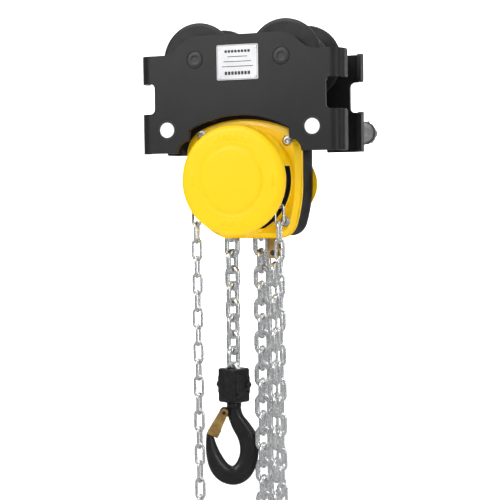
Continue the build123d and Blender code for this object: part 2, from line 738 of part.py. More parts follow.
GEAR_FRONT = FRAME_OUTER + 2.5
GEAR_MIDDLE = GEAR_FRONT + 10
GEAR_BACK = GEAR_MIDDLE + 10.5
hoist_place = Location((HOIST_X, 0, HOIST_Z))
load_gear = gear(LOAD_TEETH, GEAR_FRONT, GEAR_MIDDLE - 0.6, 14, GEAR_TILT).moved(hoist_place)
write(load_gear, "load_gear")
for name, side in (("right", 1), ("left", -1)):
    away = GEAR_TILT if side > 0 else GEAR_TILT + 180
    centre = Location(
        (HOIST_X + side * GEAR_CENTRE_X, 0, HOIST_Z + side * GEAR_CENTRE_Z)
    )
    small = gear(SMALL_TEETH, GEAR_FRONT, GEAR_MIDDLE + 1, 0, away + 180 + 180 / SMALL_TEETH)
    large = gear(LARGE_TEETH, GEAR_MIDDLE + 0.6, GEAR_BACK - 0.6, 0, away + 180 + 180 / LARGE_TEETH)
    with BuildPart() as disc_gear:
        add(small)
        add(large)
        with BuildSketch(front(GEAR_COVER_BACK - SHELL - 1)):
            Circle(6)
        extrude(amount=GEAR_COVER_BACK - SHELL - 1 - FRAME_INNER - 0.5)
    write(disc_gear.part.moved(centre), f"disc_gear_{name}")

# ---------------------------------------------------------------- drive shaft and brake
pinion = gear(PINION_TEETH, GEAR_MIDDLE + 0.6, GEAR_BACK - 0.6, 0, GEAR_TILT)
with BuildPart() as drive_shaft:
    add(pinion)
    with BuildSketch(front(GEAR_MIDDLE + 1)):
        Circle(7.5)
    extrude(amount=GEAR_MIDDLE + 1 + 73)
    with BuildSketch(front(GEAR_COVER_BACK - SHELL - 1)):
        Circle(5)
    extrude(amount=12)
write(drive_shaft.part.moved(hoist_place), "drive_shaft")

with BuildPart() as brake_hub:
    with BuildSketch(hoist(-27.2)):
        Circle(30)
    extrude(amount=2.8)
    with BuildSketch(hoist(-30)):
        Circle(13)
    extrude(amount=9.8)
    with BuildSketch(hoist(-27)):
        Circle(7.5)
    extrude(amount=14, mode=Mode.SUBTRACT)
write(brake_hub.part, "brake_hub")
discs = [ring(-33, -30, 30, 13), ring(-39.8, -36.8, 30, 13)]
write(Compound(children=discs), "friction_discs")

RATCHET_TIP = 40.0
RATCHET_ROOT = 36.0
RATCHET_TEETH = 16
with BuildPart() as ratchet_disc:
    with BuildSketch(hoist(-33)):
        Circle(RATCHET_ROOT)
        slope = radians(360 / RATCHET_TEETH * 0.85)
        with BuildLine():
            Polyline(
                (RATCHET_ROOT - 1, 0),
                (RATCHET_TIP, 0),
                (RATCHET_ROOT * cos(slope), -RATCHET_ROOT * sin(slope)),
                ((RATCHET_ROOT - 1) * cos(slope), -(RATCHET_ROOT - 1) * sin(slope)),
                close=True,
            )
        tooth = make_face(mode=Mode.PRIVATE)
        with PolarLocations(0, RATCHET_TEETH):
            add(tooth)
        Circle(13, mode=Mode.SUBTRACT)
    extrude(amount=3.8)
write(ratchet_disc.part, "ratchet_disc")

WHEEL_BACK = -45.8
WHEEL_FRONT = -68.2
BOSS_BACK = -40.8
with BuildPart() as hand_wheel:
    with BuildSketch(hoist(WHEEL_BACK)):
        Circle(68)
    extrude(amount=WHEEL_BACK - WHEEL_FRONT)
    with BuildSketch(hoist(HAND_Y + 8.9)):
        Circle(70)
        Circle(HAND_FLAT_R - HAND_WIRE - 0.4, mode=Mode.SUBTRACT)
    extrude(amount=17.8, mode=Mode.SUBTRACT)
    with BuildSketch(hoist(HAND_Y + 8.9)):
        with PolarLocations(62.5, 8):
            Rectangle(7.5, 7)
    extrude(amount=17.8)
    with BuildSketch(hoist(HAND_Y + 2.9)):
        Circle(70)
        Circle(HAND_R - HAND_END - HAND_WIRE - 0.5, mode=Mode.SUBTRACT)
    extrude(amount=5.8, mode=Mode.SUBTRACT)
    with BuildSketch(hoist(WHEEL_BACK)):
        Circle(50)
        Circle(22, mode=Mode.SUBTRACT)
    extrude(amount=8, mode=Mode.SUBTRACT)
    with BuildSketch(hoist(WHEEL_FRONT + 8)):
        Circle(50)
        Circle(20, mode=Mode.SUBTRACT)
    extrude(amount=8, mode=Mode.SUBTRACT)
    with BuildSketch(hoist(WHEEL_BACK)):
        with PolarLocations(36, 6):
            Circle(8)
    extrude(amount=WHEEL_BACK - WHEEL_FRONT, mode=Mode.SUBTRACT)
    with BuildSketch(hoist(BOSS_BACK)):
        Circle(22)
    extrude(amount=BOSS_BACK - WHEEL_BACK + 1)
    with BuildSketch(hoist(BOSS_BACK)):
        Circle(7.5)
    extrude(amount=BOSS_BACK - WHEEL_FRONT, mode=Mode.SUBTRACT)
write(hand_wheel.part, "hand_wheel")
write(hexagon(-72.5, WHEEL_FRONT, 24, HOIST_X, HOIST_Z, 7.5), "hand_wheel_nut")

# ---------------------------------------------------------------- pawls, pins and springs
PAWL_FRONT = -36.6
PAWL_BACK = -33.2
pawl_pins, pawl_springs = [], []
for name, (pin_x, pin_z), turn in (("upper", PAWLS[0], 0), ("lower", PAWLS[1], 180)):
    with BuildPart() as pawl:
        with BuildSketch(front(PAWL_BACK)):
            Circle(6.5)
            Polygon((3, 6.4), (24.5, -15.5), (19.5, -20.3), (-3, -6.4), align=None)
            Circle(PAWL_PIN + RUNNING, mode=Mode.SUBTRACT)
        extrude(amount=PAWL_BACK - PAWL_FRONT)
    place = Location((HOIST_X + pin_x, 0, HOIST_Z + pin_z), (0, -turn, 0))
    write(pawl.part.moved(place), f"pawl_{name}")
    pin = ring(-37.8, -FRAME_INNER, PAWL_PIN, 0, HOIST_X + pin_x, HOIST_Z + pin_z)
    pawl_pins.append(pin)
    with BuildPart() as spring:
        with BuildLine() as coil:
            Helix(pitch=1.3, height=5.2, radius=4.4)
        with BuildSketch(Plane(origin=coil.line @ 0, z_dir=coil.line % 0)):
            Circle(0.45)
        sweep(is_frenet=True)
    coil_place = Location((HOIST_X + pin_x, -27.0, HOIST_Z + pin_z), (90, 0, 0))
    pawl_springs.append(spring.part.moved(coil_place))
write(Compound(children=pawl_pins), "pawl_pins")
write(Compound(children=pawl_springs), "pawl_springs")

# ---------------------------------------------------------------- chain guides and anchor
roller_pins = []
for name, (roller_x, roller_z) in zip(("left", "right"), ROLLERS):
    x, z = HOIST_X + roller_x, HOIST_Z + roller_z
    write(ring(-19, 19, 7.5, ROLLER_PIN + RUNNING, x, z), f"guide_roller_{name}")
    roller_pins.append(ring(-FRAME_OUTER + 0.5, FRAME_OUTER - 0.5, ROLLER_PIN, 0, x, z))
write(Compound(children=roller_pins), "roller_pins")

with BuildPart() as chain_stripper:
    with BuildSketch(hoist(4.2)):
        Polygon((-9, -19.5), (9, -19.5), (5.5, -62), (-12, -62), align=None)
    extrude(amount=8.4)
    with BuildSketch(hoist(FRAME_INNER)):
        with Locations((-3, -56)):
            Rectangle(16, 12)
    extrude(amount=2 * FRAME_INNER)
write(chain_stripper.part, "chain_stripper")

ANCHOR_X = RETURN_X - HOIST_X
ANCHOR_PIN_Z = -106.0
ANCHOR_PIN = 4.0
with BuildPart() as chain_anchor:
    with BuildSketch(hoist(RETURN_Y + 8.2)):
        with BuildLine():
            Line((ANCHOR_X - 7.2, ANCHOR_PIN_Z), (ANCHOR_X - 7.2, -66))
            Line((ANCHOR_X - 7.2, -66), (ANCHOR_X + 7.2, -66))
            Line((ANCHOR_X + 7.2, -66), (ANCHOR_X + 7.2, ANCHOR_PIN_Z))
            ThreePointArc(
                (ANCHOR_X + 7.2, ANCHOR_PIN_Z),
                (ANCHOR_X, ANCHOR_PIN_Z - 8.5),
                (ANCHOR_X - 7.2, ANCHOR_PIN_Z),
            )
        make_face()
        with Locations((ANCHOR_X, ANCHOR_PIN_Z)):
            Circle(ANCHOR_PIN, mode=Mode.SUBTRACT)
    extrude(amount=16.4)
    with BuildSketch(hoist(RETURN_Y + 4.9)):
        with Locations((ANCHOR_X, -104)):
            Rectangle(30, 48)
    extrude(amount=9.8, mode=Mode.SUBTRACT)
    with BuildSketch(hoist(RETURN_Y - 8.2)):
        with Locations((ANCHOR_X, -71)):
            Rectangle(14.4, 10)
    extrude(amount=FRAME_INNER + RETURN_Y - 8.2)
write(chain_anchor.part, "chain_anchor")
anchor_pin = ring(
    RETURN_Y - 10, RETURN_Y + 10, ANCHOR_PIN, 0, HOIST_X + ANCHOR_X, HOIST_Z + ANCHOR_PIN_Z
)
write(anchor_pin, "anchor_pin")

# ---------------------------------------------------------------- load chain
# Straight strands alternate standing links, which lie in the XZ plane, and flat ones.
stand_half_angle = degrees(asin(LOAD_STAND / LOAD_HINGE))


def wheel_hinges(hinge_radius, half_angle, y, first, last):
    """Hinge points over a wheel, from the standing link at angle first to the one at last."""
    hinges = []
    angle = first
    while angle > last - 1:
        hinges.append(on_axis(hinge_radius, angle + half_angle, y))
        hinges.append(on_axis(hinge_radius, angle - half_angle, y))
        angle -= 90 if hinge_radius < 50 else 45
    return hinges


def strand(x, y, z_start, count, steps):
    """Hinge points straight down from z_start, with alternate step lengths."""
    hinges = [(x, y, z_start)]
    for index in range(count):
        hinges.append((x, y, hinges[-1][2] - 2 * steps[index % 2]))
    return hinges


# The live strand: from the link in the hook block up to the bottom of the housing.
live_top = HOIST_Z - LOAD_STAND - 2 * LOAD_FLAT
live_hinges = strand(LIVE_X, 0, live_top, 11, (LOAD_STAND, LOAD_FLAT))


def live_twist(z):
    """The live strand turns from the housing to the hook block."""
    depth = (live_top - z) / (live_top - HOIST_Z + LIVE_DROP)
    return -10 + (BLOCK_TWIST + 10) * depth


load_chain_live = chain(load_link, live_hinges, True, live_twist)
write(Compound(children=load_chain_live), "load_chain_live")

# The rest of the load chain: over the sheave, down as the slack strand, and up to the anchor.
over_sheave = wheel_hinges(LOAD_HINGE, stand_half_angle, 0, 180, 0)
over_sheave[0] = (LIVE_X, 0, HOIST_Z - LOAD_STAND)
over_sheave[1] = (LIVE_X, 0, HOIST_Z + LOAD_STAND)
over_sheave[-1] = (HOIST_X + LIVE_R, 0, HOIST_Z - LOAD_STAND)
over_sheave[-2] = (HOIST_X + LIVE_R, 0, HOIST_Z + LOAD_STAND)
slack_shift = SLACK_X - HOIST_X - LIVE_R
guide_length = 2 * (LOAD_FLAT + LOAD_STAND + LOAD_FLAT)
guide_drop = (guide_length**2 - slack_shift**2) ** 0.5
guided = []
travelled = 0.0
for step in (2 * LOAD_FLAT, 2 * LOAD_STAND, 2 * LOAD_FLAT):
    travelled += step
    part = travelled / guide_length
    guided.append(
        (
            HOIST_X + LIVE_R + slack_shift * part,
            0,
            HOIST_Z - LOAD_STAND - guide_drop * part,
        )
    )
slack_strand = strand(SLACK_X, 0, guided[-1][2], 17, (LOAD_STAND, LOAD_FLAT))
RETURN_TOP = HOIST_Z + ANCHOR_PIN_Z - 1.5
return_strand = strand(RETURN_X, RETURN_Y, RETURN_TOP, 17, (LOAD_STAND, LOAD_FLAT))
left_end, right_end = Vector(*slack_strand[-1]), Vector(*return_strand[-1])
LOOP_LEFT = 4.0  # tilt of the loop's first link, from vertical


def loop_points():
    """The lowest three links: a flat one, a standing one and a flat one, hung between two ends."""
    across = Vector(right_end.X - left_end.X, right_end.Y - left_end.Y, 0)
    toward = across.normalized()
    tilt = radians(LOOP_LEFT)
    first = left_end + (toward * sin(tilt) - Vector(0, 0, cos(tilt))) * (2 * LOAD_FLAT)
    low, high = radians(5), radians(80)
    for _ in range(60):
        middle = (low + high) / 2
        second = right_end + (toward * -sin(middle) - Vector(0, 0, cos(middle))) * (2 * LOAD_FLAT)
        if (second - first).length > 2 * LOAD_STAND and second.Z < first.Z:
            low, high = (middle, high) if (second - first).dot(toward) > 0 else (low, middle)
        else:
            low, high = low, middle
    return first, second


first, second = loop_points()
slack_hinges = [(LIVE_X, 0, live_top)] + over_sheave + guided + slack_strand[1:]
slack_hinges += [tuple(first), tuple(second)]
slack_hinges += return_strand[::-1]
load_chain_slack = chain(load_link, slack_hinges, False)
write(Compound(children=load_chain_slack), "load_chain_slack")

# ---------------------------------------------------------------- hand chain
HAND_TURNS = 20  # links in each straight strand
hand_half_angle = degrees(asin(HAND_STAND / HAND_HINGE))
hand_left, hand_right = HOIST_X - HAND_R, HOIST_X + HAND_R
over_wheel = wheel_hinges(HAND_HINGE, hand_half_angle, HAND_Y, 180, 0)
down_right = strand(hand_right, HAND_Y, HOIST_Z - HAND_STAND, HAND_TURNS, (HAND_FLAT, HAND_STAND))
drop = HAND_TURNS * HAND_PITCH
bottom = [(x, y, 2 * HOIST_Z - drop - z) for x, y, z in over_wheel[::-1]]
up_left = [(hand_left, HAND_Y, z) for _, _, z in down_right[::-1]]
hand_hinges = over_wheel + down_right[1:] + bottom[2:] + up_left[2:]
hand_chain = chain(hand_link, hand_hinges, True)
write(Compound(children=hand_chain), "hand_chain")

# ---------------------------------------------------------------- hook block
block_place = Location((LIVE_X, 0, HOIST_Z), (0, 0, BLOCK_TWIST))
NUT_FLOOR = -320.5
NUT_ROOF = -309.5
CHAIN_PIN_Z = -LIVE_DROP - 7.4
CHAIN_PIN = 4.5
SHANK = 8.5
BOSS = 2.5
halves = []
for side in (1, -1):
    with BuildPart() as half:
        with BuildSketch(Plane.XY.offset(BLOCK_BOTTOM)):
            RectangleRounded(2 * BLOCK_HALF, 2 * BLOCK_HALF, 4)
        extrude(amount=BLOCK_TOP - BLOCK_BOTTOM)
        chamfer(half.faces().sort_by(Axis.Z)[-1].edges(), length=2)
        chamfer(half.faces().sort_by(Axis.Z)[0].edges(), length=2)
        with BuildSketch(Plane.YZ.offset(BLOCK_HALF)):
            with Locations((0, -303)):
                RectangleRounded(28, 30, 5)
        extrude(amount=BOSS)
        with BuildSketch(Plane.YZ.offset(-BLOCK_HALF)):
            with Locations((0, -303)):
                RectangleRounded(28, 30, 5)
        extrude(amount=-BOSS)
        with BuildSketch(Plane.XY.offset(BLOCK_TOP)):
            SlotOverall(2 * (LINK_END + LINK_WIRE) + 0.8, 2 * LINK_WIRE + 0.8)
        extrude(amount=-(BLOCK_TOP - NUT_ROOF) - 0.1, mode=Mode.SUBTRACT)
        with BuildSketch(Plane.XY.offset(BLOCK_TOP)):
            SlotOverall(26, 9, rotation=90)
        extrude(amount=-8, mode=Mode.SUBTRACT)
        with BuildSketch(Plane.XY.offset(NUT_FLOOR)):
            Circle(13)
        extrude(amount=NUT_ROOF - NUT_FLOOR, mode=Mode.SUBTRACT)
        with BuildSketch(Plane.XY.offset(BLOCK_BOTTOM)):
            Circle(SHANK + RUNNING)
        extrude(amount=NUT_FLOOR - BLOCK_BOTTOM, mode=Mode.SUBTRACT)
        with BuildSketch(Plane.XZ.offset(-BLOCK_HALF)):
            with Locations((0, CHAIN_PIN_Z)):
                Circle(CHAIN_PIN)
        extrude(amount=2 * BLOCK_HALF, mode=Mode.SUBTRACT)
        with BuildSketch(Plane.YZ.offset(-BLOCK_HALF - BOSS)):
            with Locations((10.2, -303), (-10.2, -303)):
                Circle(2.55)
        extrude(amount=2 * (BLOCK_HALF + BOSS), mode=Mode.SUBTRACT)
        split(bisect_by=Plane.YZ, keep=Keep.TOP if side > 0 else Keep.BOTTOM)
    halves.append(half.part.moved(block_place))
write(Compound(children=halves), "hook_block_halves")

bolts = []
for bolt_y in (10.2, -10.2):
    with BuildPart() as bolt:
        with BuildSketch(Plane.YZ.offset(-BLOCK_HALF - 5.2)):
            with Locations((bolt_y, -303)):
                Circle(2.5)
        extrude(amount=2 * BLOCK_HALF + 8.2)
        with BuildSketch(Plane.YZ.offset(BLOCK_HALF + BOSS)):
            with Locations((bolt_y, -303)):
                RegularPolygon(4.5, 6, major_radius=False)
        extrude(amount=2.2)
        with BuildSketch(Plane.YZ.offset(-BLOCK_HALF - BOSS)):
            with Locations((bolt_y, -303)):
                RegularPolygon(4.5, 6, major_radius=False)
        extrude(amount=-2.2)
    bolts.append(bolt.part.moved(block_place))
write(Compound(children=bolts), "block_bolts")
with BuildPart() as chain_pin:
    with BuildSketch(Plane.XZ.offset(-BLOCK_HALF + 0.5)):
        with Locations((0, CHAIN_PIN_Z)):
            Circle(CHAIN_PIN)
    extrude(amount=2 * BLOCK_HALF - 1)
write(chain_pin.part.moved(block_place), "chain_pin")

# ---------------------------------------------------------------- hook, nut and latch
HOOK_HALF = 9.0
LATCH_X = -15.0
LATCH_Z = -344.0
hook_place = Location((LIVE_X, 0, HOIST_Z), (0, 0, HOOK_TURN))
with BuildPart() as load_hook:
    with BuildSketch(front(HOOK_HALF)):
        with BuildLine():
            Line((-9, -331), (9, -331))
            Spline(
                (9, -331),
                (13, -348),
                (31, -374),
                (36, -404),
                (26, -438),
                (0, -454),
                (-29.5, -442),
                (-43, -407),
                (-42, -376),
            )
            ThreePointArc((-42, -376), (-36.5, -371.5), (-31.5, -377))
            Spline(
                (-31.5, -377),
                (-26.5, -394),
                (-16, -415),
                (-4, -425),
                (6, -412),
                (7.5, -395),
                (-3, -368),
                (-9, -350),
                (-9, -331),
            )
        make_face()
    extrude(amount=2 * HOOK_HALF)
    with BuildSketch(front(5)):
        with Locations((LATCH_X, LATCH_Z)):
            Circle(7)
        with Locations((LATCH_X + 5, LATCH_Z)):
            Rectangle(10, 12)
    extrude(amount=10)
    with BuildSketch(Plane.XY.offset(-336)):
        Circle(11)
    extrude(amount=6.4)
    with BuildSketch(Plane.XY.offset(-330)):
        Circle(SHANK)
    extrude(amount=19.5)
    with BuildSketch(front(12)):
        with Locations((LATCH_X, LATCH_Z)):
            Circle(2.5)
    extrude(amount=24, mode=Mode.SUBTRACT)
write(load_hook.part.moved(hook_place), "load_hook")
with BuildPart() as hook_nut:
    with BuildSketch(Plane.XY.offset(NUT_FLOOR + 0.3)):
        Circle(12.4)
        Circle(SHANK, mode=Mode.SUBTRACT)
    extrude(amount=8.5)
write(hook_nut.part.moved(hook_place), "hook_nut")

LATCH_INNER = 9.6
LATCH_OUTER = 11.6
with BuildPart() as hook_latch:
    for y_back in (LATCH_OUTER, -LATCH_INNER):
        with BuildSketch(front(y_back)):
            with Locations((LATCH_X, LATCH_Z)):
                Circle(6)
            Polygon((-20.6, -341.8), (-9.6, -346.6), (-25.5, -382), (-40.5, -374.5), align=None)
            with Locations((LATCH_X, LATCH_Z)):
                Circle(2.5 + RUNNING, mode=Mode.SUBTRACT)
        extrude(amount=LATCH_OUTER - LATCH_INNER)
    with BuildSketch(front(LATCH_OUTER)):
        Polygon((-21, -370), (-19.2, -370.9), (-25.5, -382), (-27.3, -381.1), align=None)
    extrude(amount=2 * LATCH_OUTER)
write(hook_latch.part.moved(hook_place), "hook_latch")
with BuildPart() as latch_pin:
    with BuildSketch(front(13)):
        with Locations((LATCH_X, LATCH_Z)):
            Circle(2.5)
    extrude(amount=26)
write(latch_pin.part.moved(hook_place), "latch_pin")
springs = []
for coil_y in (9.1, -5.6):
    with BuildPart() as spring:
        with BuildLine() as coil:
            Helix(pitch=1.2, height=2.9, radius=3.4)
        with BuildSketch(Plane(origin=coil.line @ 0, z_dir=coil.line % 0)):
            Circle(0.4)
        sweep(is_frenet=True)
    coil_place = Location((LATCH_X, coil_y, LATCH_Z), (90, 0, 0))
    springs.append(spring.part.moved(coil_place).moved(hook_place))
write(Compound(children=springs), "latch_springs")
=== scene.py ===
"""Looks of the beam trolley with its hand chain hoist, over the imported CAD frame.

Scene units are metres. Sizes of the pieces made here are in mm and pass through MM."""
import json
import math

import bmesh
import bpy
from mathutils import Matrix, Vector


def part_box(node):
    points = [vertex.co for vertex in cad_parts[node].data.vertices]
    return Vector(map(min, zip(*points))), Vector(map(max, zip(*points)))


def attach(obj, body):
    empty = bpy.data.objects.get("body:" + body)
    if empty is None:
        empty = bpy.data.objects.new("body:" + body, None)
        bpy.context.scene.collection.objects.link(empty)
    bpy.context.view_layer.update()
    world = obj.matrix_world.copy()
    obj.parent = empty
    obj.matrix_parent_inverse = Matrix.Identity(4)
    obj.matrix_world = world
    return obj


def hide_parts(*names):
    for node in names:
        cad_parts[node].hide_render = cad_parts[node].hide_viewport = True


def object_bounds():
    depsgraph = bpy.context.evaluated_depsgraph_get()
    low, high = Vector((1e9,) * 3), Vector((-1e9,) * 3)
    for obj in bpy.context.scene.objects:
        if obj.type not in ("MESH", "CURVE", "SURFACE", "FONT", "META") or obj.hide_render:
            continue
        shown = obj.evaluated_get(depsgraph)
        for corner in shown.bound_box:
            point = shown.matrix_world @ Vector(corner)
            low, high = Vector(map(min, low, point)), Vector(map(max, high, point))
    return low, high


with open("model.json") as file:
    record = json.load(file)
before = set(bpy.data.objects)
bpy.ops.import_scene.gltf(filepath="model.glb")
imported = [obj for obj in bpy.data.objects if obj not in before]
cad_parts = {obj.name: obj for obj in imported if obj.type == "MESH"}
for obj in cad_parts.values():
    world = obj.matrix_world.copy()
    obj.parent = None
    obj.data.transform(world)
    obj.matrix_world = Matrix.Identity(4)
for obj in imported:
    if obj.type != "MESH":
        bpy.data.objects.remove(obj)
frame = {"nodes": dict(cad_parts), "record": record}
nodes = frame["nodes"]
cad_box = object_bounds()
scene = bpy.context.scene

MM = 0.001
# Driving places of the CAD model: the hoist's main axis, the suspension shafts and the hook's line.
HOIST = Vector((-0.005, 0.0, -0.134))
SHAFT_X = 0.111
SHAFT_Z = -0.060
LIVE_X = sum(corner.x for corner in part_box("hook_nut")) / 2

# ---------------------------------------------------------------- camera
CAMERA_AZIMUTH, CAMERA_ELEVATION, CAMERA_ROLL = 20.8, 2.21, -0.67
CAMERA_LENS = 99.1
CAMERA_AIM = Vector((-0.00812, 0.0, -0.23666))
CAMERA_DISTANCE = 2.0337


def aim_camera():
    """Places the camera round the object by azimuth from the front, elevation and roll, in degrees."""
    azimuth, elevation, roll = (
        math.radians(angle) for angle in (CAMERA_AZIMUTH, CAMERA_ELEVATION, CAMERA_ROLL)
    )
    back = Vector(
        (
            math.sin(azimuth) * math.cos(elevation),
            -math.cos(azimuth) * math.cos(elevation),
            math.sin(elevation),
        )
    )
    right = Vector((math.cos(azimuth), math.sin(azimuth), 0.0))
    up = back.cross(right)
    turned_right = right * math.cos(roll) + up * math.sin(roll)
    turned_up = -right * math.sin(roll) + up * math.cos(roll)
    data = bpy.data.cameras.new("camera")
    data.sensor_width = 36.0
    data.lens = CAMERA_LENS
    camera = bpy.data.objects.new("camera", data)
    scene.collection.objects.link(camera)
    place = Matrix((turned_right, turned_up, back)).transposed().to_4x4()
    place.translation = CAMERA_AIM + back * CAMERA_DISTANCE
    camera.matrix_world = place
    scene.camera = camera


aim_camera()


# ---------------------------------------------------------------- materials
def mixed_colour(tree, factor, first, second):
    """first where factor is 0 and second where it is 1; each is a colour or a socket."""
    mix = tree.nodes.new("ShaderNodeMix")
    mix.data_type = "RGBA"
    tree.links.new(factor, mix.inputs["Factor"])
    for side, colour in (("A", first), ("B", second)):
        if isinstance(colour, tuple):
            mix.inputs[side].default_value = (*colour, 1)
        else:
            tree.links.new(colour, mix.inputs[side])
    return mix.outputs["Result"]


def noise(tree, place, scale, detail=3.0, rough=0.5):
    """A noise texture's value at place."""
    node = tree.nodes.new("ShaderNodeTexNoise")
    tree.links.new(place, node.inputs["Vector"])
    node.inputs["Scale"].default_value = scale
    node.inputs["Detail"].default_value = detail
    node.inputs["Roughness"].default_value = rough
    return node.outputs["Fac"]


def ranged(tree, value, low, high, out_low, out_high):
    """value moved from the range low to high into out_low to out_high, and held at its ends."""
    node = tree.nodes.new("ShaderNodeMapRange")
    tree.links.new(value, node.inputs["Value"])
    node.inputs["From Min"].default_value = low
    node.inputs["From Max"].default_value = high
    node.inputs["To Min"].default_value = out_low
    node.inputs["To Max"].default_value = out_high
    return node.outputs["Result"]


def surface(name, colours, rough, grain, peel, height, metallic=0.0, edge=0.6, wear=None, shine=0.5):
    """A material: two colours clouded by noise, roughness and fine relief, and softened edges.

    grain and peel are the noise scales of the clouds and of the relief. height is the relief in mm
    and edge the rounding of corners in mm. wear is a third colour in small rubbed spots."""
    made = bpy.data.materials.new(name)
    made.use_nodes = True
    tree = made.node_tree
    shader = tree.nodes["Principled BSDF"]
    place = tree.nodes.new("ShaderNodeTexCoord").outputs["Object"]
    clouds = ranged(tree, noise(tree, place, grain, 5.0, 0.6), 0.35, 0.65, 0.0, 1.0)
    colour = mixed_colour(tree, clouds, *colours)
    if wear:
        spots = ranged(tree, noise(tree, place, grain * 4.5, 8.0, 0.7), 0.66, 0.72, 0.0, 1.0)
        colour = mixed_colour(tree, spots, colour, wear)
    tree.links.new(colour, shader.inputs["Base Color"])
    shader.inputs["Metallic"].default_value = metallic
    shader.inputs["Specular IOR Level"].default_value = shine
    scuffs = noise(tree, place, grain * 2.3, 6.0, 0.65)
    tree.links.new(ranged(tree, scuffs, 0.3, 0.7, *rough), shader.inputs["Roughness"])
    rounding = tree.nodes.new("ShaderNodeBevel")
    rounding.samples = 6
    rounding.inputs["Radius"].default_value = edge * MM
    bump = tree.nodes.new("ShaderNodeBump")
    bump.inputs["Strength"].default_value = 0.6
    bump.inputs["Distance"].default_value = height * MM
    tree.links.new(noise(tree, place, peel, 2.0), bump.inputs["Height"])
    tree.links.new(rounding.outputs["Normal"], bump.inputs["Normal"])
    tree.links.new(bump.outputs["Normal"], shader.inputs["Normal"])
    return made


STEEL = (0.55, 0.55, 0.56)
BLACK = (0.009, 0.0085, 0.0087)
# Plain near-white colour of the shafts' front faces: a painted glint in place of a polished steel
# reflection.
GLINT_WHITE = (0.95, 0.95, 0.95)
FINISHES = {
    "black_paint": dict(
        colours=(BLACK, (0.015, 0.0138, 0.0137)),
        rough=(0.34, 0.44), grain=9, peel=700, height=0.04, edge=0.9, shine=0.3,
    ),
    "wheel_black": dict(
        colours=((0.013, 0.013, 0.013), (0.021, 0.020, 0.019)),
        rough=(0.5, 0.66), grain=22, peel=420, height=0.12, shine=0.4,
    ),
    "black_axle": dict(
        colours=(BLACK, (0.021, 0.02, 0.02)),
        rough=(0.4, 0.5), grain=40, peel=800, height=0.03, edge=0.5,
    ),
    "machined_steel": dict(
        colours=(STEEL, (0.64, 0.64, 0.65)), metallic=1.0,
        rough=(0.24, 0.36), grain=60, peel=1500, height=0.02, edge=0.3,
    ),
    "spring_steel": dict(
        colours=((0.2, 0.2, 0.21), (0.3, 0.3, 0.31)), metallic=1.0,
        rough=(0.3, 0.42), grain=80, peel=1500, height=0.02, edge=0.1,
    ),
    "zinc_fastener": dict(
        colours=((0.56, 0.57, 0.6), (0.68, 0.69, 0.7)), metallic=1.0,
        rough=(0.26, 0.42), grain=70, peel=1200, height=0.03, edge=0.4,
    ),
    "nameplate_metal": dict(
        colours=((0.66, 0.66, 0.68), (0.74, 0.74, 0.75)), metallic=0.1,
        rough=(0.34, 0.42), grain=30, peel=1400, height=0.01, edge=0.2,
    ),
    "yellow_paint": dict(
        colours=((0.98, 0.60, 0.0), (1.0, 0.63, 0.001)),
        rough=(0.36, 0.44), grain=6, peel=520, height=0.04, edge=0.8, shine=0.32,
    ),
    "chain_zinc": dict(
        colours=((0.76, 0.77, 0.78), (0.9, 0.91, 0.92)), metallic=1.0,
        rough=(0.2, 0.34), grain=110, peel=600, height=0.04, edge=0.1,
    ),
    "cast_steel": dict(
        colours=((0.1, 0.1, 0.105), (0.17, 0.17, 0.17)), metallic=0.8,
        rough=(0.42, 0.6), grain=40, peel=500, height=0.1,
    ),
    "friction_lining": dict(
        colours=((0.12, 0.075, 0.045), (0.2, 0.13, 0.08)),
        rough=(0.75, 0.9), grain=90, peel=900, height=0.1,
    ),
    "yellow_zinc": dict(
        colours=((0.4, 0.22, 0.065), (0.68, 0.47, 0.17)), metallic=0.85,
        rough=(0.28, 0.42), grain=85, peel=900, height=0.03, edge=0.4, wear=(0.5, 0.2, 0.12),
    ),
    "hook_black": dict(
        colours=((0.005, 0.005, 0.0055), (0.010, 0.010, 0.010)),
        rough=(0.24, 0.36), grain=30, peel=260, height=0.16, edge=0.9, shine=0.45,
    ),
    "black_fastener": dict(
        colours=((0.014, 0.014, 0.015), (0.03, 0.03, 0.03)), metallic=0.3,
        rough=(0.34, 0.5), grain=60, peel=900, height=0.04, edge=0.4,
    ),
    "nut_zinc": dict(
        colours=((0.16, 0.16, 0.17), (0.26, 0.26, 0.27)), metallic=0.9,
        rough=(0.36, 0.5), grain=90, peel=900, height=0.05, edge=0.3,
    ),
    "shroud_black": dict(
        colours=((0.003, 0.003, 0.003), (0.006, 0.006, 0.006)),
        rough=(0.5, 0.62), grain=9, peel=700, height=0.03, shine=0.1,
    ),
    "ink": dict(
        colours=((0.03, 0.03, 0.032), (0.05, 0.05, 0.05)),
        rough=(0.5, 0.6), grain=200, peel=1500, height=0.005, edge=0.05,
    ),
}
materials = {name: surface(name, **values) for name, values in FINISHES.items()}
# Distance from a shaft's axis where its collar's paint starts, and y of its flush front face, in front of
# which the face carries a painted glint.
COLLAR_EDGE = (0.0111, 0.0113)
GLINT_FACE_EDGE = (-0.0632, -0.0631)


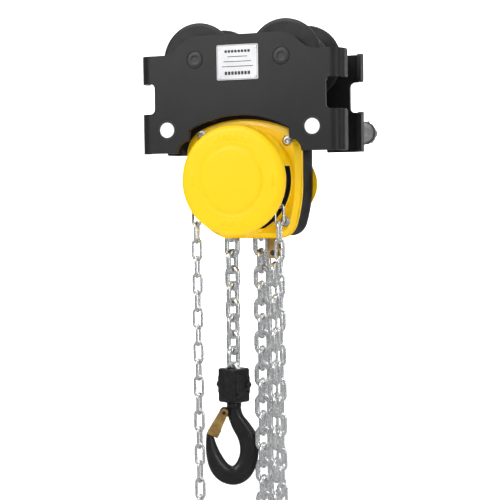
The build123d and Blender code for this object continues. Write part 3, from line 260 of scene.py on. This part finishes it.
def shaft_material():
    """Bright shafts whose front faces carry a painted glint, a plain near-white colour without metal, and
    whose pressed-on collars are painted with the plate.
    """
    made = materials["machined_steel"].copy()
    made.name = "shaft_steel"
    tree = made.node_tree
    shader = tree.nodes["Principled BSDF"]
    place = tree.nodes.new("ShaderNodeTexCoord").outputs["Object"]
    parts = tree.nodes.new("ShaderNodeSeparateXYZ")
    tree.links.new(place, parts.inputs["Vector"])

    def maths(operation, first, second=0.0):
        node = tree.nodes.new("ShaderNodeMath")
        node.operation = operation
        for socket, value in zip(node.inputs, (first, second)):
            if isinstance(value, float):
                socket.default_value = value
            else:
                tree.links.new(value, socket)
        return node.outputs["Value"]

    across = maths("SUBTRACT", maths("ABSOLUTE", parts.outputs["X"]), SHAFT_X)
    over = maths("SUBTRACT", parts.outputs["Z"], SHAFT_Z)
    squares = maths("ADD", maths("MULTIPLY", across, across), maths("MULTIPLY", over, over))
    collar = ranged(tree, maths("SQRT", squares), *COLLAR_EDGE, 0.0, 1.0)
    # The flush front face is painted near-white and made non-metal: a painted glint.
    face = ranged(tree, parts.outputs["Y"], *GLINT_FACE_EDGE, 1.0, 0.0)
    steel_and_glint = mixed_colour(tree, face, STEEL, GLINT_WHITE)
    tree.links.new(mixed_colour(tree, collar, steel_and_glint, BLACK), shader.inputs["Base Color"])
    plain = maths("MAXIMUM", collar, face)
    tree.links.new(ranged(tree, plain, 0.0, 1.0, 1.0, 0.0), shader.inputs["Metallic"])
    return made


def finish_nodes():
    """Gives each CAD node the material of its slot, apart from a few pieces with their own finish."""
    node_material = {part["node"]: part["material_slot"] for part in frame["record"]["subparts"]}
    node_material["suspension_shafts"] = "shaft_steel"
    node_material["frame_shroud"] = "shroud_black"
    for name in ("chain_pin", "anchor_pin", "latch_pin"):
        node_material[name] = "black_fastener"
    for name in ("castle_nuts", "cotter_pins", "spacer_sleeves"):
        node_material[name] = "nut_zinc"
    for name, node in nodes.items():
        node.data.materials.clear()
        node.data.materials.append(materials[node_material[name]])


materials["shaft_steel"] = shaft_material()
finish_nodes()


# ---------------------------------------------------------------- mesh helpers
def piece(name, bm, body, material, smooth=True, replaces=()):
    """Makes an object of a bmesh in the row frame, rides it on a body and gives it its finish."""
    bmesh.ops.recalc_face_normals(bm, faces=bm.faces)
    mesh = bpy.data.meshes.new(name)
    bm.to_mesh(mesh)
    bm.free()
    for face in mesh.polygons:
        face.use_smooth = smooth
    made = bpy.data.objects.new(name, mesh)
    scene.collection.objects.link(made)
    mesh.materials.append(materials[material])
    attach(made, body)
    if replaces:
        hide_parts(*replaces)
    return made


def loft(bm, rings, capped=True):
    """Quads between successive rings of points, with the end rings capped."""
    made = [[bm.verts.new(p) for p in ring] for ring in rings]
    for low, high in zip(made, made[1:]):
        count = len(low)
        for i in range(count):
            bm.faces.new((low[i], low[(i + 1) % count], high[(i + 1) % count], high[i]))
    if capped:
        bm.faces.new(made[0])
        bm.faces.new(made[-1])


def turn(steps):
    """The angles of one full turn in equal steps."""
    return [2 * math.pi * k / steps for k in range(steps)]


def about_y(centre, radius, y, angle):
    """The point at radius and y, in mm, and an angle round the Y axis through centre."""
    return Vector(
        (
            centre.x + radius * MM * math.cos(angle),
            y * MM,
            centre.z + radius * MM * math.sin(angle),
        )
    )


def lathe_y(bm, profile, centre, steps):
    """Turns (radius, y) points in mm about a Y axis through centre."""
    loft(bm, [[about_y(centre, radius, y, angle) for angle in turn(steps)] for radius, y in profile])


def smoothstep(low, high, value):
    """0 below low and 1 above high, with a soft rise between; falls instead where low is above high."""
    t = min(max((value - low) / (high - low), 0.0), 1.0)
    return t * t * (3 - 2 * t)


# ---------------------------------------------------------------- hand wheel cover
DRUM_R = 79.0
DRUM_FRONT = round(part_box("hand_wheel_cover")[0].y / MM, 3)
DRUM_BACK = -40.0
DRUM_WALL = 2.0
ROUND = 8.0
WEB_BACK = -40.4
WEB_HOLE = 26.0
# The slots let the hand chain down at both sides: their y range and their angles from +X.
SLOT_FRONT = -69.5
SLOT_BACK = -48.0
SLOTS = ((-62.0, 14.0), (166.0, 242.0))
# Relief of the pressed face: a raised disc, a low band round it and the plain marks on the band.
DISC_LIFT = 1.3
BAND_LIFT = 0.35
MARK_LIFT = 0.7
MARK_RADIUS = 61.5
DASH_PITCH = 9.0
DASH_ROWS = ((90.0, 6), (270.0, 4))
ARROWS = (0.0, 180.0)
ARROW_HALF = 9.0


def arrow(along, across):
    """Height, 0 to 1, of a curved arrow: a bar with a pointed head, in mm along and across it."""
    bar_ends = smoothstep(-ARROW_HALF, -8.2, along) * smoothstep(3.2, 2.4, along)
    bar = bar_ends * smoothstep(1.9, 1.2, abs(across))
    head_half = (ARROW_HALF - along) * 0.62
    head = smoothstep(1.8, 2.6, along) * smoothstep(head_half, head_half - 0.9, abs(across))
    return max(bar, head if along < ARROW_HALF else 0.0)


def signed_away(angle, middle):
    """Degrees from middle to angle, from -180 to 180."""
    return (angle - middle + 180) % 360 - 180


def cover_relief(radius, angle):
    """How far the pressed face of the cover stands forward, in mm, at a radius and angle."""
    lift = DISC_LIFT * smoothstep(48.0, 43.0, radius)
    lift += BAND_LIFT * smoothstep(72.5, 70.0, radius) * smoothstep(50.0, 53.0, radius)
    for middle in ARROWS:
        away = signed_away(angle, middle)
        if abs(away) < 12:
            lift += MARK_LIFT * arrow(math.radians(away) * radius, radius - MARK_RADIUS)
    for middle, count in DASH_ROWS:
        away = signed_away(angle, middle)
        index = round(away / DASH_PITCH + (count - 1) / 2)
        if 0 <= index < count:
            offset = math.radians(away - (index - (count - 1) / 2) * DASH_PITCH) * radius
            dash = smoothstep(3.4, 2.6, abs(offset)) * smoothstep(4.2, 3.3, abs(radius - MARK_RADIUS))
            lift += MARK_LIFT * dash
    return lift


def cover_profile():
    """(radius, y) of the cover's outside, from the middle of its face over the rim to its back web."""
    profile = [(r, DRUM_FRONT) for r in (2, 8, 16, 24, 32, 37, 40)]
    profile += [(42 + 0.75 * i, DRUM_FRONT) for i in range(39)]
    for i in range(1, 11):
        angle = math.radians(9 * i)
        profile.append(
            (DRUM_R - ROUND + ROUND * math.sin(angle), DRUM_FRONT + ROUND - ROUND * math.cos(angle))
        )
    profile += [(DRUM_R, y) for y in (SLOT_FRONT, -66.0, -61.0, -57.0, -52.0, SLOT_BACK, -44.0, -41.0)]
    profile += [(DRUM_R - 0.25, -40.35), (DRUM_R - 0.8, DRUM_BACK)]
    profile += [(DRUM_R - 3.0, WEB_BACK), (50.0, WEB_BACK), (WEB_HOLE, WEB_BACK)]
    return profile


def hand_wheel_cover():
    """The pressed drum over the hand wheel, open at the two chain slots, with painted shade inside: its
    inner faces and the rims of its wall are black.
    """
    bm = bmesh.new()
    steps = 360
    rings = []
    for radius, y in cover_profile():
        ring = []
        for angle in turn(steps):
            lift = cover_relief(radius, math.degrees(angle)) if y == DRUM_FRONT else 0.0
            ring.append(bm.verts.new(about_y(HOIST, radius, y - lift, angle)))
        rings.append((y, ring))
    for (y_low, low), (y_high, high) in zip(rings, rings[1:]):
        for i in range(steps):
            degrees = 360 * (i + 0.5) / steps
            inside = any(a < degrees < b or a < degrees - 360 < b for a, b in SLOTS)
            if y_low >= SLOT_FRONT and y_high <= SLOT_BACK and inside:
                continue
            bm.faces.new((low[i], low[(i + 1) % steps], high[(i + 1) % steps], high[i]))
    bm.faces.new(rings[0][1])
    made = piece(
        "hand_wheel_cover_shell", bm, "root", "yellow_paint", replaces=("hand_wheel_cover",)
    )
    # The inside of the drum and the rims of its wall take the black_axle finish: painted shade for the dark
    # inside of the slots.
    made.data.materials.append(materials["black_axle"])
    wall = made.modifiers.new("wall", "SOLIDIFY")
    wall.thickness = DRUM_WALL * MM
    wall.offset = -1.0
    wall.material_offset = 1
    wall.material_offset_rim = 1


hand_wheel_cover()

# ---------------------------------------------------------------- load hook
# The hook hangs turned about its line; its own X points across the bowl.
HOOK_TURN = math.radians(20.8)
HOOK_PLACE = Matrix.Translation((LIVE_X, 0, HOIST.z)) @ Matrix.Rotation(HOOK_TURN, 4, "Z")
# Outer point, inner point and half depth of the forging's sections, from the neck to the tip.
HOOK_SECTIONS = (
    ((9.2, -331.0), (-9.2, -331.0), 8.6),
    ((13.0, -348.0), (-9.2, -350.0), 8.8),
    ((23.0, -361.5), (-6.6, -360.0), 8.9),
    ((31.0, -374.0), (-2.6, -370.0), 9.0),
    ((35.6, -389.0), (4.2, -383.0), 9.0),
    ((36.0, -404.0), (7.6, -396.0), 9.0),
    ((33.0, -422.0), (7.0, -408.5), 9.0),
    ((26.0, -438.0), (3.6, -417.6), 9.0),
    ((14.5, -449.2), (-0.8, -423.8), 9.0),
    ((0.0, -453.9), (-4.6, -425.0), 9.0),
    ((-16.0, -451.2), (-10.2, -421.6), 9.0),
    ((-29.5, -442.0), (-16.2, -414.0), 9.0),
    ((-38.4, -427.0), (-21.6, -404.6), 8.8),
    ((-42.8, -407.0), (-26.6, -393.6), 8.2),
    ((-43.0, -391.0), (-29.6, -384.6), 7.4),
    ((-42.0, -377.8), (-31.8, -377.6), 6.4),
    ((-40.4, -373.8), (-33.2, -374.4), 5.2),
    ((-38.0, -371.9), (-35.2, -372.4), 2.4),
)
# (radius, z) of the collar under the block and the shank above it.
HOOK_NECK = (
    (9.0, -339), (10.4, -337.5), (11.0, -336), (11.0, -331.2), (10.4, -330), (8.4, -329.7), (8.4, -311),
)
# The lug that carries the latch pin: its pin's place, its radius and how far it runs into the neck.
LUG_X, LUG_Z = -15.0, -344.0
LUG_RADIUS = 7.0
LUG_RUN = 7.0
# (inset, y) of the lug's sections, which round its edges.
LUG_SECTIONS = ((1.4, -5.0), (0.4, -4.7), (0.0, -3.9), (0.0, 3.9), (0.4, 4.7), (1.4, 5.0))


def on_hook(x, y, z):
    """A point given in mm in the hook's own frame."""
    return HOOK_PLACE @ Vector((x * MM, y * MM, z * MM))


def catmull(before, start, end, after, t):
    """A point between start and end on the smooth curve through four points or numbers."""
    return 0.5 * (
        2 * start
        + (end - before) * t
        + (2 * before - 5 * start + 4 * end - after) * t * t
        + (3 * start - before - 3 * end + after) * t**3
    )


def hook_stations(between):
    """Outer point, inner point and half depth at each step along the forging."""
    stations = []
    last = len(HOOK_SECTIONS) - 1
    for i in range(last):
        corners = [HOOK_SECTIONS[min(max(j, 0), last)] for j in (i - 1, i, i + 1, i + 2)]
        for k in range(between if i < last - 1 else between + 1):
            t = k / between
            outer = catmull(*[Vector(c[0]) for c in corners], t)
            inner = catmull(*[Vector(c[1]) for c in corners], t)
            stations.append((outer, inner, catmull(*[c[2] for c in corners], t)))
    return stations


def hook_section(outer, inner, depth, steps):
    """One section of the forging: flatter outside, rounder and a little narrower inside."""
    middle, half = (outer + inner) / 2, (outer - inner) / 2
    ring = []
    for angle in turn(steps):
        c, s = math.cos(angle), math.sin(angle)
        power = 0.78 if c > 0 else 0.92
        along = math.copysign(abs(c) ** power, c)
        side = math.copysign(abs(s) ** 0.8, s) * (1.0 if c > 0 else 1.0 - 0.1 * abs(c))
        point = middle + half * along
        ring.append(on_hook(point.x, side * depth, point.y))
    return ring


def lug_section(inset, y, steps):
    """One section of the latch lug: a half round end, drawn out towards the neck."""
    radius = LUG_RADIUS - inset
    ring = []
    for angle in turn(steps):
        run = LUG_RUN if math.cos(angle) > 0 else 0.0
        ring.append(on_hook(LUG_X + radius * math.cos(angle) + run, y, LUG_Z + radius * math.sin(angle)))
    return ring


def load_hook():
    """The forged hook with its collar, shank and latch lug."""
    bm = bmesh.new()
    loft(bm, [hook_section(*station, 40) for station in hook_stations(5)])
    loft(
        bm,
        [[on_hook(r * math.cos(angle), r * math.sin(angle), z) for angle in turn(48)] for r, z in HOOK_NECK],
    )
    loft(bm, [lug_section(inset, y, 40) for inset, y in LUG_SECTIONS])
    piece("load_hook_forging", bm, "hook", "hook_black", replaces=("load_hook",))


load_hook()

# ---------------------------------------------------------------- nameplate print
# y of the plate's inside, of the printed rules and of the border, which stand proud of its face.
PRINT_BACK = -63.7
RULES_FRONT = -63.92
BORDER_FRONT = -63.84
# z, width and height of the rows; rows higher than ROW_OF_DASHES are broken into dashes.
RULES = ((49.5, 44, 3.8), (42.0, 30, 1.0), (35.0, 42, 1.0), (28.0, 48, 1.0), (18.5, 40, 5.0))
ROW_OF_DASHES = 2.0
DASH_STEP = 5
DASH_WIDTH = 3.9
# x, z, width and height of the border's four sides.
BORDER = ((0, 57.9, 60.4, 0.5), (0, 10.1, 60.4, 0.5), (-30, 34, 0.5, 47), (30, 34, 0.5, 47))


def bar(bm, x, z, width, height, y_front):
    """A flat bar with rounded ends, in mm, printed on the plate's face."""
    radius = min(width, height) * 0.3
    outline = []
    for cx, cz, start in ((1, 1, 0), (-1, 1, 90), (-1, -1, 180), (1, -1, 270)):
        for k in range(5):
            angle = math.radians(start + 22.5 * k)
            outline.append(
                (
                    x + cx * (width / 2 - radius) + radius * math.cos(angle),
                    z + cz * (height / 2 - radius) + radius * math.sin(angle),
                )
            )
    loft(bm, [[Vector((px * MM, y * MM, pz * MM)) for px, pz in outline] for y in (PRINT_BACK, y_front)])


def nameplate_print():
    """Plain rules, dashes and a border on the blank nameplate."""
    bm = bmesh.new()
    for z, width, height in RULES:
        if height > ROW_OF_DASHES:
            count = int(width / DASH_STEP)
            for k in range(count):
                bar(bm, (k - (count - 1) / 2) * DASH_STEP, z, DASH_WIDTH, height, RULES_FRONT)
        else:
            bar(bm, 0, z, width, height, RULES_FRONT)
    piece("nameplate_rules", bm, "root", "ink", smooth=False)
    bm = bmesh.new()
    for x, z, width, height in BORDER:
        bar(bm, x, z, width, height, BORDER_FRONT)
    piece("nameplate_border", bm, "root", "ink", smooth=False)


nameplate_print()

# ---------------------------------------------------------------- axle ends, threads, stay caps
AXLE_X, AXLE_Z = 66.0, 40.0
AXLE_FACE = 63.6
# Radius and height over AXLE_FACE: a dished middle, a raised ring, a groove and the outer edge.
AXLE_END = (
    (0.8, -0.05), (4.2, -0.05), (4.6, 0.15), (9.4, 0.2),
    (9.8, 0.05), (10.6, 0.05), (11.1, 0.12), (11.6, -0.4),
)
THREAD_PITCH = 2.5
THREAD_CORE = 9.97
THREAD_DEPTH = 0.3
THREAD_START = 201.0
THREAD_ROWS = 57
THREAD_ROW_STEP = 0.52
# (x, z) of the stays from the hoist's axis, and (radius, y) of the socket heads over their ends.
STAYS = ((70.8, 55.2), (-61.0, 65.5), (66.0, -60.0))
STAY_CAP = (
    (7.3, -33.9), (7.3, -39.4), (7.0, -39.8), (6.2, -40.0), (5.8, -41.6),
    (5.0, -42.6), (3.4, -42.8), (3.1, -42.6), (3.0, -40.6), (0.6, -40.4),
)


def axle_ends():
    """Riveted-over ends of the stub axles: a shallow dished face with a ring groove."""
    bm = bmesh.new()
    for x in (-AXLE_X, AXLE_X):
        for side in (-1, 1):
            profile = [(radius, side * (AXLE_FACE + lift)) for radius, lift in AXLE_END]
            lathe_y(bm, profile, Vector((x * MM, 0, AXLE_Z * MM)), 72)
    piece("axle_end_faces", bm, "root", "black_axle")


def threads():
    """Threads on the suspension shafts' rear ends."""
    bm = bmesh.new()
    steps = 48
    for x in (-SHAFT_X, SHAFT_X):
        rings = []
        for j in range(THREAD_ROWS):
            y = THREAD_START + j * THREAD_ROW_STEP
            ring = []
            for k, angle in enumerate(turn(steps)):
                phase = (y / THREAD_PITCH + k / steps) % 1.0
                radius = THREAD_CORE + THREAD_DEPTH * (1 - abs(2 * phase - 1))
                ring.append(about_y(Vector((x, 0, SHAFT_Z)), radius, y, angle))
            rings.append(ring)
        loft(bm, rings, capped=False)
    piece("shaft_threads", bm, "root", "machined_steel")


def stay_caps():
    """Socket heads over the stays' ends, in the brake cover's round recesses."""
    bm = bmesh.new()
    for rel_x, rel_z in STAYS:
        lathe_y(bm, STAY_CAP, HOIST + Vector((rel_x * MM, 0, rel_z * MM)), 48)
    piece("stay_end_caps", bm, "root", "zinc_fastener")


axle_ends()
threads()
stay_caps()

# ---------------------------------------------------------------- floor and light
FLOOR_DROP = 0.03
# y where the level floor ends and the radius of the sweep that turns it up behind the object.
SWEEP_START = 5.0
SWEEP_RADIUS = 3.0
WALL_TOP = 8.0
AIM = (0.0, 0.0, -0.2)
BACKDROP_AIM = (0.0, 7.5, 0.6)
# Name, place, aim, width and height, and power of each lamp.
LAMPS = (
    ("key", (-1.3, -2.7, 1.2), AIM, (1.3, 1.5), 50),
    ("fill", (2.2, -2.0, 0.2), AIM, (0.5, 1.6), 13),
    ("top", (-0.2, -0.6, 1.9), AIM, (1.6, 0.8), 16),
    ("rim", (1.9, 0.2, 0.5), AIM, (0.15, 1.6), 5),
    ("backdrop_left", (-3.0, 3.0, 1.2), BACKDROP_AIM, (2.5, 2.5), 430),
    ("backdrop_right", (3.0, 3.0, 1.2), BACKDROP_AIM, (2.5, 2.5), 430),
    ("floor_wash", (0.0, 0.6, 1.6), (0.0, 1.2, -0.7), (3.0, 1.0), 60),
)
SKY_STRENGTH = 0.3
SKY_SEEN = 1.0


def paper_material():
    """White paper for the stage, darker in mirror reflections so that dark paint stays dark."""
    paper = bpy.data.materials.new("paper")
    paper.use_nodes = True
    tree = paper.node_tree
    shader = tree.nodes["Principled BSDF"]
    place = tree.nodes.new("ShaderNodeTexCoord").outputs["Object"]
    white = mixed_colour(tree, noise(tree, place, 0.8), (0.9, 0.9, 0.9), (0.93, 0.93, 0.93))
    mirrored = tree.nodes.new("ShaderNodeLightPath").outputs["Is Glossy Ray"]
    tree.links.new(mixed_colour(tree, mirrored, white, (0.3, 0.3, 0.3)), shader.inputs["Base Color"])
    shader.inputs["Roughness"].default_value = 0.9
    shader.inputs["Specular IOR Level"].default_value = 0.0
    return paper


def studio():
    """A pale floor that sweeps up into a wall behind the object."""
    low = cad_box[0].z - FLOOR_DROP
    bm = bmesh.new()
    profile = [(y, low) for y in (-6.0, -2.0, 0.0, 3.0, SWEEP_START)]
    for degrees in range(10, 91, 10):
        angle = math.radians(degrees)
        rise = SWEEP_RADIUS - SWEEP_RADIUS * math.cos(angle)
        profile.append((SWEEP_START + SWEEP_RADIUS * math.sin(angle), low + rise))
    profile.append((SWEEP_START + SWEEP_RADIUS, low + WALL_TOP))
    columns = [[bm.verts.new((x, y, z)) for y, z in profile] for x in (-9.0, 0.0, 9.0)]
    for first, second in zip(columns, columns[1:]):
        for i in range(len(profile) - 1):
            bm.faces.new((first[i], second[i], second[i + 1], first[i + 1]))
    mesh = bpy.data.meshes.new("floor")
    bm.to_mesh(mesh)
    bm.free()
    for face in mesh.polygons:
        face.use_smooth = True
    floor = bpy.data.objects.new("floor", mesh)
    scene.collection.objects.link(floor)
    mesh.materials.append(paper_material())


def lamp(name, place, aim, size, power):
    """A soft rectangular lamp at place, turned to aim."""
    data = bpy.data.lights.new(name, "AREA")
    data.shape = "RECTANGLE"
    data.size, data.size_y = size
    data.energy = power
    made = bpy.data.objects.new(name, data)
    scene.collection.objects.link(made)
    made.location = place
    made.rotation_mode = "QUATERNION"
    made.rotation_quaternion = (Vector(aim) - Vector(place)).to_track_quat("-Z", "Y")


def sky():
    """A weak even light from all round, which looks white itself."""
    world = bpy.data.worlds.new("studio")
    world.use_nodes = True
    tree = world.node_tree
    background = tree.nodes["Background"]
    background.inputs["Color"].default_value = (1.0, 1.0, 1.0, 1)
    seen = tree.nodes.new("ShaderNodeLightPath").outputs["Is Camera Ray"]
    strength = ranged(tree, seen, 0.0, 1.0, SKY_STRENGTH, SKY_SEEN)
    tree.links.new(strength, background.inputs["Strength"])
    scene.world = world


studio()
for values in LAMPS:
    lamp(*values)
sky()
scene.view_settings.view_transform = "Standard"
